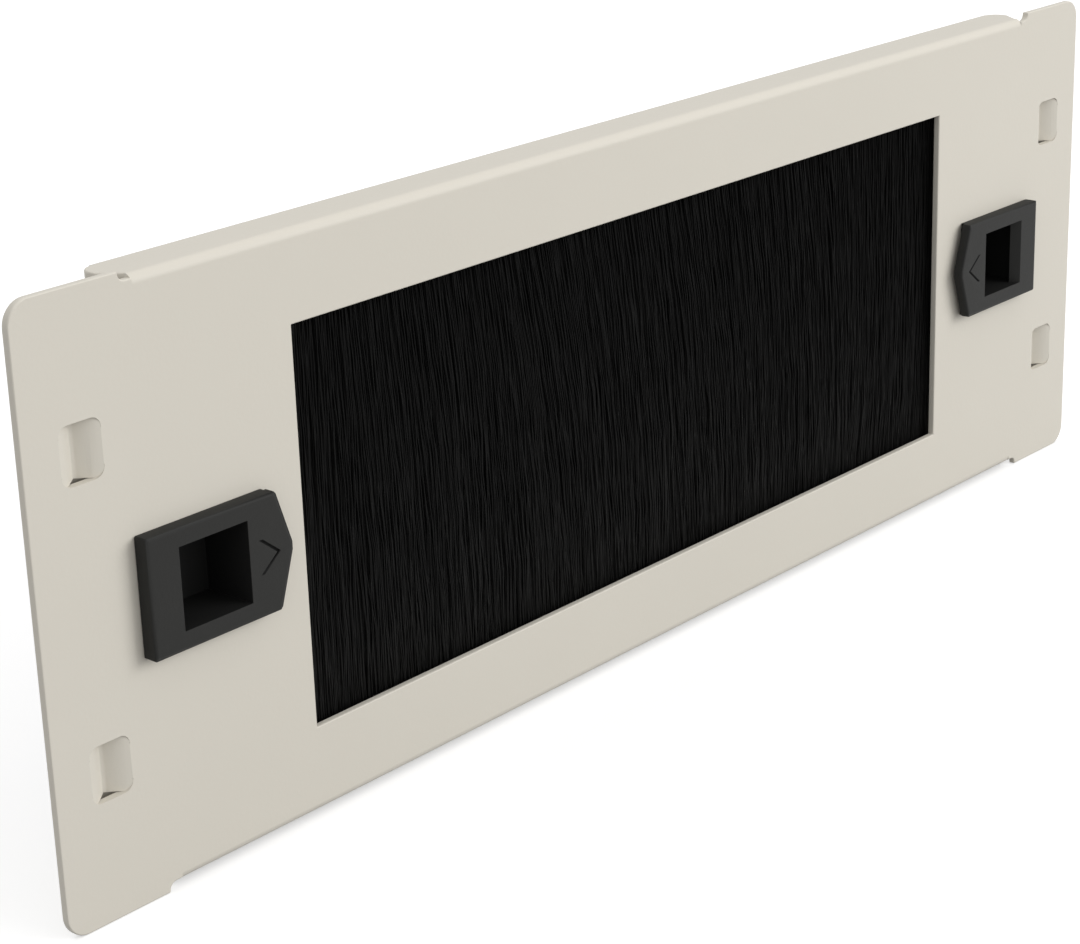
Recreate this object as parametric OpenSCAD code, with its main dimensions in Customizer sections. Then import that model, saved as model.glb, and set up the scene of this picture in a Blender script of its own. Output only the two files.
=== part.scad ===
// Cable feedthrough panel for a ten-inch network rack, two units high.
// A folded steel sheet with a wide window, a strip brush that hangs behind the
// window, and two sprung latches that hold the panel on the rack's rails.
// X runs along the panel, Y points back into the rack and Z points up.
// The origin is the panel's centre, on the plane where its ears meet the rails.

/* [Panel sheet] */
// Width over both ears
panel_w = 254; // [248:1:280]
// Height of one rack unit, which is also the spacing of the locating tabs
unit_h = 44.45; // [40:0.05:50]
// How much lower the ears are than the rack units that they fill
unit_gap = 0.8; // [0.2:0.1:2]
// Thickness of the sheet with its powder coat
sheet_t = 1.2; // [0.8:0.1:1.4]
// Radius of the ears' outer corners
ear_corner_r = 3.5; // [1:0.5:6]
// Width of the relief cut between an ear and a folded edge
relief_w = 2.2; // [1:0.1:3]
// How far the relief cuts stop short of where the bends begin
relief_rise = 0.9; // [0:0.1:1]
// How far the folded edges lie inside the ears' edges
fold_drop = 0.85; // [0.5:0.05:1.5]
// Depth of the folded edges, from the front face to the back
fold_depth = 8; // [7:0.5:14]
// Inner radius of the folds
bend_r = 0.2; // [0.1:0.1:1.2]
// Depth at which the folded edges reach their full length
fold_widen = 4.5; // [3.5:0.5:5]
// Radius of the folded edges' back corners
fold_corner_r = 2.5; // [0.5:0.5:4]

/* [Cable window] */
// Height of the sheet's border between a folded edge and the window
border_h = 13.2; // [12:0.1:18]
// Width of the sheet between the window and a latch's guide
window_side = 3.5; // [3.2:0.1:20]

/* [Rack rails] */
// Width of each rail that the ears cover
rail_w = 15.9; // [14:0.1:18]
// Thickest rail that the catches hold
rail_t = 2; // [1.2:0.1:2.4]
// Distance between the ears' inner edges and the rails' inner edges
ear_inset = 1.9; // [1:0.1:3]
// Clearance between the folded edges' ends and the rails
fold_clear = 1.7; // [0.6:0.1:2]
// Distance of the locating tabs' middle from the ears' outer edges
tab_edge = 9.5; // [8:0.1:11]
// Width of a locating tab
tab_w = 7; // [5:0.1:8]
// Height of a locating tab
tab_h = 8.3; // [6:0.1:9]
// Radius of a locating tab's corners
tab_corner_r = 1.6; // [0.5:0.1:2.5]
// How far a locating tab is pressed back
tab_press = 1.3; // [1.2:0.1:2.2]
// Shear gap round a locating tab
tab_gap = 0.1; // [0.05:0.05:0.4]

/* [Strip brush] */
// How far the bristles reach past each side of the window
curtain_over = 2.6; // [1:0.1:2.7]
// How far the bristles' free ends hang below the window
bristle_tail = 4.5; // [1:0.5:6]
// Thickness of the bristle curtain
curtain_t = 3.2; // [2.6:0.1:3.4]
// Height over which the curtain swells below the channel's mouth
curtain_flare = 2.5; // [1.5:0.5:4]
// Width of one tuft of bristles
tuft_w = 2; // [1.5:0.1:4]
// Depth of the grooves between tufts
tuft_groove = 0.35; // [0.1:0.05:0.5]
// Unevenness of the bristles' free ends
ragged = 1.2; // [0.2:0.1:2]
// Width of the brush channel, across its mouth
channel_w = 5; // [4.6:0.1:6]
// Height of the brush channel
channel_h = 7; // [6:0.1:8]
// Sheet thickness of the brush channel
channel_t = 0.6; // [0.4:0.1:0.8]
// Outer radius of the brush channel's closed edge
channel_r = 1.5; // [1:0.1:2]
// Height of the crimp that closes the channel's mouth
crimp_h = 1.1; // [0.6:0.1:2]
// How far each crimp reaches into the channel's mouth
crimp_in = 0.4; // [0.2:0.05:0.5]
// Height of the channel's mouth above the window
channel_rise = 1.6; // [0.6:0.1:2]
// Diameter of the wire that the bristles are folded over
wire_d = 0.9; // [0.6:0.1:1]
// Thickness of the clamp that holds the brush channel
clamp_t = 1; // [0.8:0.1:1.5]
// Height of the clamp
clamp_h = 8; // [7:0.5:9]

/* [Latch slider] */
// How far a catch holds behind its rail
catch_hold = 2.8; // [2:0.1:3.5]
// Clearance between the rail and a catch that is drawn back
catch_clear = 0.2; // [0.1:0.05:0.5]
// Distance from the rail's inner edge to the slider's outer end
bezel_inset = 0.7; // [0.5:0.1:1.5]
// How far the slider's nose reaches past its slot
nose_over = 3.6; // [3.3:0.1:6]
// How far the front plate covers the sheet above and below its slot
bezel_over = 1.2; // [0.6:0.1:4]
// How far the slider stands out from the panel
bezel_proud = 2.5; // [2.2:0.1:4]
// Length of the pointed end of the front plate
point_len = 2.5; // [1.5:0.1:3]
// Height of the blunt nose of the pointed end
nose_h = 1.2; // [0.4:0.1:2]
// Size of the cut corners beside the point
shoulder_cut = 0.4; // [0.2:0.1:1.6]
// Bevel round the front plate's face
bezel_bevel = 0.2; // [0.1:0.05:0.6]
// Height of the relief under the pointed end
nose_relief = 0.8; // [0.4:0.1:1.2]
// Width of the finger pocket
pocket_w = 12.3; // [10:0.1:12.5]
// Height of the finger pocket
pocket_h = 12; // [10:0.1:12.4]
// Depth of the finger pocket below the slider's face
pocket_depth = 9; // [7:0.1:9.5]
// Thickness of the lip that overhangs the pocket's outer side
lip_t = 1.7; // [1.2:0.1:2]
// How far the pocket runs back behind that lip
lip_over = 1.1; // [0.4:0.1:1.2]
// Wall thickness of the pocket
cup_wall = 1.2; // [1:0.1:1.4]
// Wall thickness of the pocket behind its lip
outer_wall = 1; // [0.6:0.1:1.2]
// Width of the engraved arrow's line
arrow_line = 0.7; // [0.2:0.05:0.8]
// Length of the engraved arrow
arrow_len = 3.2; // [2:0.1:3.4]
// Height of the engraved arrow
arrow_h = 5.1; // [3:0.1:6]
// Distance from the nose to the arrow's tip
arrow_back = 2.4; // [2:0.1:3]
// Depth of the engraved arrow
arrow_depth = 0.4; // [0.1:0.05:0.6]
// Sliding gap between the slider and the sheet
slide_gap = 0.1; // [0.05:0.05:0.2]
// Clearance between the pocket and the edges of its slot
slot_clear = 0.3; // [0.2:0.05:0.4]

/* [Catch and guide] */
// Radius of the bumps on the slider that the fork snaps over
snap_r = 0.8; // [0.5:0.1:1.2]
// Height of those bumps
snap_h = 0.35; // [0.2:0.05:0.45]
// Thickness of the catch's fork
fork_t = 2; // [1.6:0.1:2.4]
// Width of the fork's arms
fork_arm = 3.3; // [2.6:0.1:4]
// Depth of the grooves that hold the fork
fork_groove = 0.5; // [0.3:0.05:0.7]
// Fitting gap between the fork and its grooves
fork_fit = 0.15; // [0.1:0.05:0.2]
// Thickness of the catch's bolt
bolt_t = 3.2; // [2.6:0.1:4]
// Width of the catch's bolt
bolt_w = 12; // [8:0.5:13]
// Wall thickness of the guide
guide_wall = 2; // [1.5:0.1:3]
// Running gap between the guide and the fork
guide_clear = 0.2; // [0.1:0.05:0.3]
// Thickness of the guide's end wall
guide_end_t = 1.4; // [1.2:0.1:1.6]
// Thickness of the lips that keep the fork down
guide_lip_t = 1.2; // [1:0.1:1.6]
// How far the lips reach over the fork's arms
guide_lip_in = 1.5; // [1:0.1:2]
// Thickness of the guide's fixing pads
pad_t = 2; // [1.5:0.1:2.5]
// Length of a fixing pad along the panel
pad_len = 12; // [9:0.5:14]

/* [Latch spring] */
// Room left for the spring when the latch is drawn back
spring_rest = 3.6; // [3.4:0.1:5]
// Outer diameter of the spring
spring_d = 5.4; // [4.6:0.1:5.6]
// Wire diameter of the spring
spring_wire = 0.5; // [0.3:0.05:0.6]
// Turns of the spring
spring_turns = 5; // [4:0.5:5.5]
// Clearance between the spring and the sheet behind which it lies
spring_float = 0.65; // [0.3:0.05:1]
// Length of the bosses that hold the spring
boss_len = 1.2; // [0.8:0.1:1.3]

/* [Fasteners] */
// Diameter of the weld studs
stud_d = 3; // [2.5:0.5:4]
// Length of the weld studs
stud_len = 6.5; // [6:0.5:8]
// Clearance round a stud in its hole, on the diameter
stud_clear = 0.3; // [0.2:0.1:0.5]
// Diameter of the washers
washer_d = 7; // [6.4:0.1:7.6]
// Thickness of the washers
washer_t = 0.5; // [0.4:0.1:0.8]
// Width of the nuts across their flats
nut_af = 5.5; // [5:0.1:6]
// Thickness of the nuts
nut_t = 2.4; // [2:0.1:2.8]

/* [Hidden] */
$fn = 48;

// A cut runs this far past the faces that it opens
cut = 1;
// How much steeper a locating tab's sides grow towards its crease
tab_steepen = 1.6;
// Clearance that keeps soft bristles off the metal that holds them
soft_gap = 0.3;
// How far single tufts stand out from the curtain's front
tuft_wave = 0.1;
// Steps of angle that make the swell and the length of each tuft its own
swell_step = 137;
length_step = 101;
// Room between a washer and the nearest wall or edge
washer_room = 0.5;
// Clearance between a spring and the boss inside it
boss_fit = 0.25;
// Clearance between a spring's ends and the walls that it pushes against
spring_gap = 0.1;
// Turns that lie closed at each end of a spring
closed_turns = 0.75;
// How far the guide's end wall reaches past the spring on either side
web_over = 2;
// Thickness of that wall at its back edge, as a share of its full thickness
web_tip = 0.4;

// Places along the panel
panel_h = 2 * unit_h - unit_gap;
rail_edge = panel_w / 2 - rail_w;
ear_in = rail_edge - ear_inset;
fold_half = ear_in - relief_w;
fold_long = rail_edge - fold_clear;
fold_z = panel_h / 2 - fold_drop;
bend_out = bend_r + sheet_t;
fold_start = fold_z - bend_out;
relief_r = relief_w / 2;
front_y = -sheet_t;
fold_back = fold_depth - sheet_t;
widen_y = min(front_y + fold_widen, fold_back - fold_corner_r);
tab_x = panel_w / 2 - tab_edge;

// Places in a latch, as distances from the panel's centre
travel = catch_hold + catch_clear;
bezel_out = rail_edge - bezel_inset;
face_y = front_y - bezel_proud;
cup_out = bezel_out - travel - slot_clear;
pocket_out = cup_out - outer_wall - lip_over;
pocket_in = pocket_out - pocket_w;
cup_in = pocket_in - cup_wall;
cup_half = pocket_h / 2 + cup_wall;
pocket_floor = face_y + pocket_depth;
cup_back = pocket_floor + cup_wall;
slot_out = cup_out + slot_clear;
slot_in = cup_in - travel - slot_clear;
slot_half = cup_half + slot_clear;
bezel_tip = slot_in - nose_over;
bezel_h = 2 * (slot_half + bezel_over);

// Places in a catch and its guide
fork_y = 2 * slide_gap;
fork_top = fork_y + fork_t;
bolt_y = max(fork_top, rail_t + catch_clear);
fork_in = cup_half - fork_groove + fork_fit;
fork_half = fork_in + fork_arm;
fork_front = cup_in + fork_fit;
fork_back = rail_edge - bezel_inset / 2;
bolt_tip = rail_edge + catch_hold;
rail_in = fork_half + guide_clear;
rail_out = rail_in + guide_wall;
lip_y = fork_top + guide_clear;
lip_in = fork_half - guide_lip_in;
guide_face = cup_in - travel - spring_rest;
guide_end = guide_face - guide_end_t;
guide_out = cup_out + catch_clear;
pad_x = (cup_in + cup_out) / 2 - travel / 2;
pad_z = rail_out + washer_d / 2 + washer_room;
spring_r = (spring_d - spring_wire) / 2;
boss_r = spring_d / 2 - spring_wire - boss_fit;
spring_y = spring_d / 2 + spring_float;
snap_x = cup_in + 2 * fork_arm;
snap_z = cup_half - fork_groove - snap_r + snap_h;

// The window, and places in the strip brush behind it
window_w = 2 * (guide_end - window_side);
window_h = 2 * (fold_z - border_h);
curtain_half = window_w / 2 + curtain_over;
curtain_y = channel_w / 2;
channel_half = curtain_half + soft_gap;
channel_z = window_h / 2 + channel_rise;
channel_top = channel_z + channel_h;
curtain_top = channel_top - channel_t - soft_gap;
curtain_low = -window_h / 2 - bristle_tail;
tufts = floor(2 * curtain_half / tuft_w);
tuft_pitch = 2 * curtain_half / tufts;
root_t = channel_w - 2 * (channel_t + crimp_in + soft_gap);
wire_z = curtain_top - root_t / 2;
clamp_half = channel_half + soft_gap;
clamp_stud_edge = clamp_t + washer_d / 2 + washer_room;
clamp_stud_pitch = washer_d + 2 * washer_room;
clamp_stud_x = clamp_half + clamp_stud_edge;
clamp_end = clamp_stud_x + clamp_stud_pitch + washer_d / 2 + washer_room;
clamp_z = channel_z + (channel_h - clamp_h) / 2;
clamp_stud_z = clamp_z + clamp_h / 2;

// Draws a flat shape, drawn in X and Z, as a plate from y = low to y = low + t
module plate(low, t)
    translate([0, low + t, 0]) rotate([90, 0, 0]) linear_extrude(t) children();

// Draws a section, drawn in Y and Z, as a bar of length len from x = start
module bar(start, len)
    translate([start, 0, 0]) rotate([90, 0, 90]) linear_extrude(len) children();

// A box between two corners
module block(low, high)
    translate(low) cube(high - low);

// A round bar that points back along Y from y = low
module peg(d, low, len)
    translate([0, low, 0]) rotate([-90, 0, 0]) cylinder(d = d, h = len);

// A rectangle centred on the origin with round corners
module round_rect(w, h, r) {
    square([w - 2 * r, h], center = true);
    square([w, h - 2 * r], center = true);
    for (sx = [-1, 1], sy = [-1, 1])
        translate([sx * (w / 2 - r), sy * (h / 2 - r)]) circle(r);
}

// Repeats its children at both ends of the panel
module both_ends() {
    children();
    mirror([1, 0, 0]) children();
}

// Front sheet: one steel blank, punched, folded back along its two long edges

// The flat of the sheet, without its window and slots
module sheet_outline() {
    difference() {
        round_rect(panel_w, panel_h, ear_corner_r);
        for (flip = [0, 1])
            mirror([0, flip])
                translate([-ear_in, fold_start]) square([2 * ear_in, panel_h]);
    }
    for (flip_x = [0, 1], flip_z = [0, 1])
        mirror([flip_x, 0]) mirror([0, flip_z])
            translate([fold_half, fold_start]) {
                translate([0, -cut]) square([relief_w + cut, cut + relief_rise]);
                translate([relief_r, 0])
                    difference() {
                        square([relief_r + cut, relief_rise + relief_r]);
                        translate([0, relief_rise + relief_r]) circle(relief_r);
                    }
            }
}

// The openings for the brush, the two latches and the four locating tabs
module sheet_openings() {
    square([window_w, window_h], center = true);
    for (side = [-1, 1]) {
        translate([side > 0 ? slot_in : -slot_out, -slot_half])
            square([slot_out - slot_in, 2 * slot_half]);
        for (row = [-1, 1])
            translate([side * tab_x, row * unit_h / 2])
                round_rect(tab_w, tab_h, tab_corner_r);
    }
}

// Section of one folded edge: the bend and the lip that runs back from it
module fold_section() {
    translate([front_y + bend_out, fold_start])
        intersection() {
            difference() {
                circle(bend_out);
                circle(bend_r);
            }
            translate([-bend_out, 0]) square(bend_out);
        }
    translate([front_y + bend_out, fold_z - sheet_t])
        square([fold_depth - bend_out, sheet_t]);
    translate([front_y, fold_start - sheet_t]) square(sheet_t);
}

// The plan of a folded edge: short at the bend, where the relief cuts end, and
// longer behind the ears, with round back corners
module fold_plan() {
    corner = fold_back - fold_corner_r;
    for (flip = [0, 1])
        mirror([flip, 0]) {
            polygon([
                [0, front_y], [fold_half, front_y], [fold_half, front_y + bend_out],
                [fold_long, widen_y], [fold_long, corner], [0, corner]
            ]);
            translate([0, corner]) square([fold_long - fold_corner_r, fold_corner_r]);
            translate([fold_long - fold_corner_r, corner]) circle(fold_corner_r);
        }
}

// A locating tab: a strip that stays joined to the sheet at its sides and is pressed
// back to a crease between them, with a shear cut round the rest of its outline
function tab_curve(s) = pow(1 - abs(s), tab_steepen);
module tab_plan() {
    round_rect(tab_w - 2 * tab_gap, tab_h - 2 * tab_gap, tab_corner_r - tab_gap);
    square([tab_w + 2 * tab_gap, tab_h - 2 * tab_corner_r], center = true);
}
module locating_tab() {
    steps = 16;
    side_run = [for (i = [0:steps]) 2 * i / steps - 1];
    root = tab_w / 2 + tab_gap;
    front = [for (s = side_run) [s * tab_w / 2, front_y + tab_press * tab_curve(s)]];
    back = [for (i = [steps:-1:0]) front[i] + [0, sheet_t]];
    intersection() {
        translate([0, 0, -tab_h]) linear_extrude(2 * tab_h)
            polygon(concat([[-root, front_y]], front, [[root, front_y], [root, 0]], back, [[-root, 0]]));
        plate(front_y - cut, cut + 2 * sheet_t + tab_press) tab_plan();
    }
}

module front_panel() color([0.81, 0.80, 0.75]) {
    difference() {
        plate(front_y, sheet_t) sheet_outline();
        translate([0, -cut, 0]) plate(front_y, sheet_t + 2 * cut) sheet_openings();
    }
    for (flip = [0, 1])
        mirror([0, 0, flip])
            intersection() {
                bar(-fold_long, 2 * fold_long) fold_section();
                linear_extrude(panel_h) fold_plan();
            }
    for (side = [-1, 1], row = [-1, 1])
        translate([side * tab_x, 0, row * unit_h / 2]) locating_tab();
}

// Strip brush: bristles folded over a wire and held in a crimped steel channel

// A rectangle whose two upper corners are round, standing on z = 0
module arched(w, h, r) {
    translate([-w / 2, 0]) square([w, h - r]);
    translate([-w / 2 + r, 0]) square([w - 2 * r, h]);
    for (side = [-1, 1])
        translate([side * (w / 2 - r), h - r]) circle(r);
}

// The hollow inside the channel, narrowed near its mouth by two long crimps
module channel_hollow() {
    wall = channel_w / 2 - channel_t;
    difference() {
        arched(2 * wall, channel_h - channel_t, channel_r - channel_t);
        for (flip = [0, 1])
            mirror([flip, 0])
                polygon([
                    [channel_w / 2, 0], [wall, 0],
                    [wall - crimp_in, crimp_h / 3], [wall - crimp_in, crimp_h * 2 / 3],
                    [wall, crimp_h], [channel_w / 2, crimp_h]
                ]);
    }
}

module brush_channel() color([0.62, 0.63, 0.64])
    bar(-channel_half, 2 * channel_half)
        translate([channel_w / 2, channel_z])
            difference() {
                arched(channel_w, channel_h, channel_r);
                channel_hollow();
            }

module brush_core_wire() color([0.55, 0.56, 0.57])
    translate([-channel_half, curtain_y, wire_z]) rotate([0, 90, 0])
        cylinder(d = wire_d, h = 2 * channel_half);

// How far tuft i swells, and how much shorter or longer its free end is
function tuft_swell(i) = tuft_wave * sin(i * swell_step);
function tuft_end(i) = curtain_low - ragged * (1 + sin(i * length_step)) / 2;

// The curtain's plan: flat tufts with a groove between them in front, and peaks behind
module curtain_plan() {
    half = curtain_t / 2;
    front_share = [0, 0.3, 0.7];
    back_share = [0.15, 0.5, 0.85];
    front = [for (i = [0:tufts - 1], k = [0:2])
        [-curtain_half + (i + front_share[k]) * tuft_pitch,
            curtain_y - half + (k == 0 ? tuft_groove : -tuft_swell(i))]];
    back = [for (i = [tufts - 1:-1:0], k = [2:-1:0])
        [-curtain_half + (i + back_share[k]) * tuft_pitch,
            curtain_y + half - (k == 1 ? 0 : tuft_groove)]];
    polygon(concat(front, [[curtain_half, curtain_y - half + tuft_groove]], back));
}

module curtain_outline() {
    ends = [for (i = [0:tufts - 1], k = [0, 1])
        [-curtain_half + (i + k / 2) * tuft_pitch, k == 0 ? curtain_low : tuft_end(i)]];
    polygon(concat(
        [[-curtain_half - cut, curtain_top], [-curtain_half - cut, curtain_low]],
        ends,
        [[curtain_half + cut, curtain_low], [curtain_half + cut, curtain_top]]
    ));
}

// Section across the curtain: a narrow round root, swelling below the channel
module curtain_section() {
    root_r = root_t / 2;
    swell = curtain_t / 2 + soft_gap;
    low = curtain_low - 2 * ragged;
    arc = [for (a = [0:15:180]) [root_r * cos(a), curtain_top - root_r + root_r * sin(a)]];
    translate([curtain_y, 0])
        polygon(concat(arc, [
            [-root_r, channel_z], [-swell, channel_z - curtain_flare], [-swell, low],
            [swell, low], [swell, channel_z - curtain_flare], [root_r, channel_z]
        ]));
}

module brush_bristles() color([0.08, 0.08, 0.08])
    difference() {
        intersection() {
            translate([0, 0, curtain_low - 2 * ragged])
                linear_extrude(curtain_top - curtain_low + 4 * ragged) curtain_plan();
            plate(0, channel_w) curtain_outline();
            bar(-curtain_half, 2 * curtain_half) curtain_section();
        }
        translate([-curtain_half - cut, curtain_y, wire_z]) rotate([0, 90, 0])
            cylinder(d = wire_d + soft_gap, h = 2 * (curtain_half + cut));
    }

// A steel strap that bridges the channel and is bolted down beyond both its ends
module clamp_plan() {
    for (side = [0, 1])
        mirror([side, 0]) {
            translate([clamp_half, 0]) square([clamp_end - clamp_half, clamp_t]);
            translate([clamp_half, 0]) square([clamp_t, channel_w + clamp_t]);
        }
    translate([-clamp_half - clamp_t, channel_w])
        square([2 * (clamp_half + clamp_t), clamp_t]);
}

module brush_clamp() color([0.70, 0.71, 0.72])
    difference() {
        translate([0, 0, clamp_z]) linear_extrude(clamp_h) clamp_plan();
        clamp_places() peg(stud_d + stud_clear, -cut, clamp_t + 2 * cut);
    }

// The four studs of the clamp stand two at each end
module clamp_places()
    both_ends()
        for (i = [0, 1])
            translate([clamp_stud_x + i * clamp_stud_pitch, 0, clamp_stud_z]) children();

// Fasteners: studs welded to the sheet's back, with washers and hexagon nuts

module stud() {
    tip = stud_d / 6;
    peg(stud_d, 0, stud_len - tip);
    translate([0, stud_len - tip, 0]) rotate([-90, 0, 0])
        rotate_extrude() polygon([[0, 0], [stud_d / 2, 0], [stud_d / 2 - tip, tip], [0, tip]]);
}

module washer(low)
    difference() {
        peg(washer_d, low, washer_t);
        peg(stud_d + stud_clear, low - cut, washer_t + 2 * cut);
    }

module nut(low) {
    corner_r = nut_af / 2 / cos(30);
    translate([0, low, 0]) rotate([-90, 0, 0])
        difference() {
            intersection() {
                cylinder(r = corner_r, h = nut_t, $fn = 6);
                rotate_extrude()
                    polygon([
                        [0, 0], [nut_af / 2, 0], [corner_r, (corner_r - nut_af / 2) / 2],
                        [corner_r, nut_t - (corner_r - nut_af / 2) / 2], [nut_af / 2, nut_t], [0, nut_t]
                    ]);
            }
            translate([0, 0, -cut]) cylinder(d = stud_d + stud_clear / 3, h = nut_t + 2 * cut);
        }
}

module clamp_studs() color([0.72, 0.70, 0.66]) clamp_places() stud();
module clamp_washers() color([0.75, 0.75, 0.76]) clamp_places() washer(clamp_t);
module clamp_nuts() color([0.78, 0.78, 0.79]) clamp_places() nut(clamp_t + washer_t);

// Latch slider: a moulded front plate with a pocket for the fingertip.
// All latch pieces are drawn at the right end, and mirrored to the left.

// The front plate's outline, with a blunt point towards the middle of the panel
module bezel_outline() {
    half = bezel_h / 2;
    shoulder = bezel_tip + point_len;
    polygon([
        [bezel_tip, -nose_h / 2], [bezel_tip, nose_h / 2],
        [shoulder, half - shoulder_cut], [shoulder + shoulder_cut, half],
        [bezel_out - bezel_bevel, half], [bezel_out, half - bezel_bevel],
        [bezel_out, -half + bezel_bevel], [bezel_out - bezel_bevel, -half],
        [shoulder + shoulder_cut, -half], [shoulder, -half + shoulder_cut]
    ]);
}

// The front plate, with a bevel round its face
module bezel_plate() {
    t = bezel_proud - slide_gap;
    hull() {
        plate(face_y + bezel_bevel, t - bezel_bevel) bezel_outline();
        plate(face_y, t) offset(delta = -bezel_bevel) bezel_outline();
    }
}

// The engraved arrow points towards the middle of the panel
module arrow_line_shape() {
    tip = bezel_tip + arrow_back;
    polygon([
        [tip, 0], [tip + arrow_len, arrow_h / 2], [tip + arrow_len + arrow_line, arrow_h / 2],
        [tip + arrow_line, 0],
        [tip + arrow_len + arrow_line, -arrow_h / 2], [tip + arrow_len, -arrow_h / 2]
    ]);
}

// The moulding before its pocket: front plate, pocket walls, spring boss, and
// along its sides the grooves and bumps that hold the catch's fork
module slider_body() {
    groove_low = fork_y - fork_fit;
    groove_high = fork_top + fork_fit;
    rear_cut = cup_wall / 2;
    difference() {
        union() {
            bezel_plate();
            block([cup_in, front_y - slide_gap - cut / 2, -cup_half], [cup_out, cup_back, cup_half]);
            translate([cup_in - boss_len, spring_y, 0]) rotate([0, 90, 0])
                cylinder(r = boss_r, h = boss_len + cup_wall / 2);
        }
        block([bezel_tip - cut, front_y - nose_relief, -bezel_h],
            [slot_in - slot_clear, front_y, bezel_h]);
        for (side = [-1, 1]) {
            z_low = side > 0 ? cup_half - fork_groove : -cup_half - cut;
            block([cup_in - cut, groove_low, z_low],
                [cup_out + cut, groove_high, z_low + fork_groove + cut]);
            translate([0, cup_back, side * cup_half]) rotate([45, 0, 0])
                block([cup_in - cut, -rear_cut, -rear_cut], [cup_out + cut, rear_cut, rear_cut]);
        }
    }
    for (side = [-1, 1])
        translate([snap_x, 0, side * snap_z]) peg(2 * snap_r, fork_y, fork_t);
}

module slider() {
    lip_back = face_y + lip_t;
    half = pocket_h / 2;
    difference() {
        slider_body();
        block([pocket_in, face_y - cut, -half], [pocket_out, pocket_floor, half]);
        block([pocket_in, lip_back, -half], [pocket_out + lip_over, pocket_floor, half]);
        plate(face_y - cut, arrow_depth + cut) arrow_line_shape();
    }
}

// Catch: a fork that grips the pocket behind the sheet and carries the bolt

// The fork's outline, with two arms and the notches that snap over the bumps
module fork_outline() {
    corner = fork_arm / 3;
    difference() {
        translate([(fork_front + fork_back) / 2, 0])
            round_rect(fork_back - fork_front, 2 * fork_half, corner);
        translate([fork_front - cut, -fork_in])
            square([cup_out + fork_fit - fork_front + cut, 2 * fork_in]);
        for (side = [-1, 1])
            translate([snap_x, side * snap_z]) circle(snap_r + fork_fit);
    }
}

// The bolt's plan: a flat front face for the rail, and a slope behind it that
// draws the catch back as the panel is pushed in
module bolt_plan() {
    root = cup_out + fork_fit;
    bolt_back = bolt_y + bolt_t;
    polygon([
        [root, bolt_y], [bolt_tip, bolt_y], [bolt_tip, bolt_y + bolt_t / 5],
        [rail_edge - catch_clear, bolt_back], [root, bolt_back]
    ]);
    translate([root, fork_top - fork_t / 2])
        square([fork_back - fork_arm / 3 - root, bolt_y - fork_top + fork_t]);
}

module latch_catch() {
    plate(fork_y, fork_t) fork_outline();
    translate([0, 0, -bolt_w / 2]) linear_extrude(bolt_w) bolt_plan();
}

// Spring: round wire wound into a short coil with closed ends, along X

// Distance along the spring at turn n, with half a pitch in the closed end turns
function coil_x(n, total, len) =
    let (e = closed_turns, w = spring_wire,
        free = (len - w - 2 * e * w) / (total - 2 * e))
    w / 2 + (n < e ? n * w : n > total - e ? len - w - (total - n) * w : e * w + (n - e) * free);

module latch_spring() {
    sides = 8;
    steps = 14;
    rings = round(spring_turns * steps);
    start = guide_face + spring_gap;
    len = cup_in - guide_face - 2 * spring_gap;
    points = [for (i = [0:rings], k = [0:sides - 1])
        let (a = 360 * i / steps, b = 360 * k / sides,
            r = spring_r + spring_wire / 2 * cos(b))
        [start + coil_x(i / steps, rings / steps, len) + spring_wire / 2 * sin(b),
            spring_y + r * cos(a), r * sin(a)]];
    walls = [for (i = [0:rings - 1], k = [0:sides - 1])
        let (n = (k + 1) % sides)
        [i * sides + k, i * sides + n, (i + 1) * sides + n, (i + 1) * sides + k]];
    caps = [[for (k = [sides - 1:-1:0]) k], [for (k = [0:sides - 1]) rings * sides + k]];
    polyhedron(points, concat(walls, caps));
}

// Guide: a moulded frame bolted to the sheet, with lips that keep the fork down,
// a wall that the spring pushes from, and two pads for its studs

module guide_frame() {
    corner = guide_wall / 2;
    frame_len = guide_out - guide_end;
    difference() {
        plate(0, lip_y + guide_lip_t)
            translate([guide_end + frame_len / 2, 0]) round_rect(frame_len, 2 * rail_out, corner);
        block([guide_face, -cut, -rail_in], [guide_out + cut, lip_y, rail_in]);
        block([guide_face, -cut, -lip_in], [guide_out + cut, lip_y + guide_lip_t + cut, lip_in]);
    }
}

// The outline of a fixing pad, round at its outer end
module pad_outline() {
    root = rail_out - guide_wall / 2;
    intersection() {
        union() {
            translate([pad_x, pad_z]) circle(d = pad_len);
            translate([pad_x - pad_len / 2, root]) square([pad_len, pad_z - root]);
        }
        translate([pad_x - pad_len, root]) square([2 * pad_len, pad_z + pad_len]);
    }
}

// The plan of the wall that the spring pushes from
module web_side(run)
    polygon([
        [0, 0], [guide_end_t, 0], [guide_end_t, run], [guide_end_t * web_tip, run], [0, run / 3]
    ]);

module latch_guide() {
    wall_half = spring_d / 2 + web_over;
    difference() {
        union() {
            guide_frame();
            translate([guide_end, 0, -wall_half])
                linear_extrude(2 * wall_half) web_side(cup_back);
            translate([guide_face, spring_y, 0]) rotate([0, 90, 0])
                cylinder(r = boss_r, h = boss_len);
            for (flip = [0, 1])
                mirror([0, 0, flip]) plate(0, pad_t) pad_outline();
        }
        for (side = [-1, 1])
            translate([pad_x, 0, side * pad_z]) peg(stud_d + stud_clear, -cut, pad_t + 2 * cut);
    }
}

// The two studs of a guide stand above and below its latch
module guide_places()
    for (side = [-1, 1])
        translate([pad_x, 0, side * pad_z]) children();

module guide_washers() guide_places() washer(pad_t);
module guide_nuts() guide_places() nut(pad_t + washer_t);

// Left and right copies of the latch pieces
module left() mirror([1, 0, 0]) children();

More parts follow.
